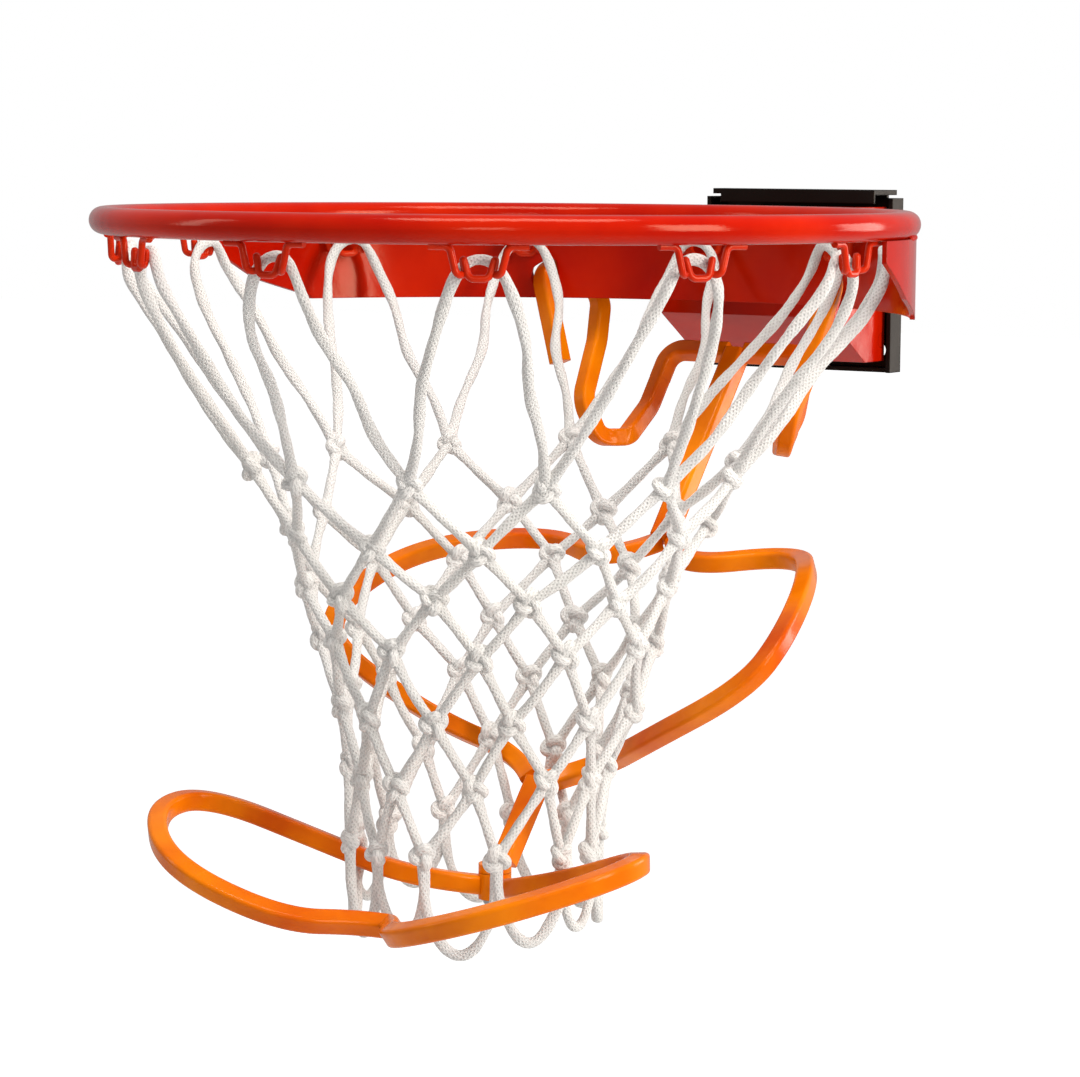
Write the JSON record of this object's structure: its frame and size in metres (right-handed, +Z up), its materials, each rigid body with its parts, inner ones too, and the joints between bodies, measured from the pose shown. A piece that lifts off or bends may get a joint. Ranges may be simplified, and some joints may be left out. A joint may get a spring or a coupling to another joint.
{
  "type": "basketball rim with net and ball return",
  "caption": "Breakaway basketball rim on a backboard bracket, with a knotted cord net and a bent-bar ball return hooked through the brace.",
  "frame": {"origin": "centre of the backboard bolt pattern, on the backboard's face", "axes": "+X to the right seen from the backboard's front, +Y into the backboard, +Z up"},
  "size_m": [0.4889, 0.6255, 0.4335],
  "materials": {
    "rim_red": "gloss",
    "hook_orange": "gloss",
    "return_orange": "gloss",
    "black_coat": "semi-gloss",
    "zinc_steel": "satin",
    "net_cord": "matte"
  },
  "bodies": {
    "mount": {"back_plate": "black_coat", "top_cover": "black_coat", "hinge_pin": "rim_red", "hinge_ear_left": "black_coat", "hinge_ear_right": "black_coat", "pin_clip_left": "zinc_steel", "pin_clip_right": "zinc_steel", "spring_stud_left": "zinc_steel", "spring_stud_right": "zinc_steel", "stud_nut_left": "zinc_steel", "stud_nut_right": "zinc_steel", "stud_washer_left": "zinc_steel", "stud_washer_right": "zinc_steel", "spring_left": "zinc_steel", "spring_right": "zinc_steel"},
    "rim": {"rim_ring": "rim_red", "brace_band": "rim_red", "housing": "rim_red", "ring_neck": "rim_red", "pressure_plate": "rim_red", "arm_left": "return_orange", "arm_right": "return_orange", "guard_loop_left": "return_orange", "guard_loop_right": "return_orange", "stem": "return_orange", "lower_stem": "return_orange", "swivel_cap": "return_orange", "swivel_bolt": "zinc_steel", "net_top": "net_cord", "net_mesh": "net_cord", "net_loops": "net_cord", "net_hook_01": "hook_orange", "net_hook_02": "hook_orange", "net_hook_03": "hook_orange", "net_hook_04": "hook_orange", "net_hook_05": "hook_orange", "net_hook_06": "hook_orange", "net_hook_07": "hook_orange", "net_hook_08": "hook_orange", "net_hook_09": "hook_orange", "net_hook_10": "hook_orange", "net_hook_11": "hook_orange", "net_hook_12": "hook_orange"},
    "chute": {"chute_hub": "return_orange", "chute_loop": "return_orange"}
  },
  "joints": [
    {"name": "breakaway_hinge", "type": "hinge", "parent": "mount", "child": "rim", "pos_m": [0, -0.015, -0.037], "axis": [1, 0, 0], "range_deg": [0, 25], "stiffness_Nm_per_rad": 400, "springref_deg": -17.19, "deforming": ["spring_left", "spring_right"]},
    {"name": "chute_swivel", "type": "hinge", "parent": "rim", "child": "chute", "pos_m": [0, -0.389, -0.352], "axis": [0, 0, 1], "range_deg": [-90, 90], "deforming": ["net_loops"]}
  ]
}
